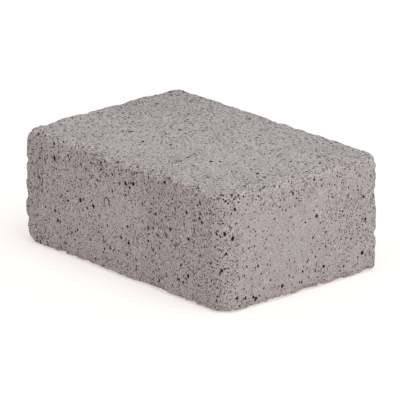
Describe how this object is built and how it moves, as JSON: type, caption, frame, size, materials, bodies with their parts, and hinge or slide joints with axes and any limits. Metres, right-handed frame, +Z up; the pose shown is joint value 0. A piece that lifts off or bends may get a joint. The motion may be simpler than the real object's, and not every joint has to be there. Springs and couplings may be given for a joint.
{
  "type": "rigid foam brick",
  "caption": "Solid brick of rigid, gritty grey foam with open pores, flat faces and softly rounded edges; it stands flat on a tray or bench.",
  "frame": {"origin": "middle of the base's outline, on the surface that the brick stands on", "axes": "+Z up through the top face, X along the length of the brick, Y across its width; -Y is a long side and +X an end"},
  "size_m": [0.15, 0.103, 0.06],
  "materials": {
    "foam": "matte"
  },
  "bodies": {
    "root": {"foam_brick": "foam"}
  },
  "joints": []
}
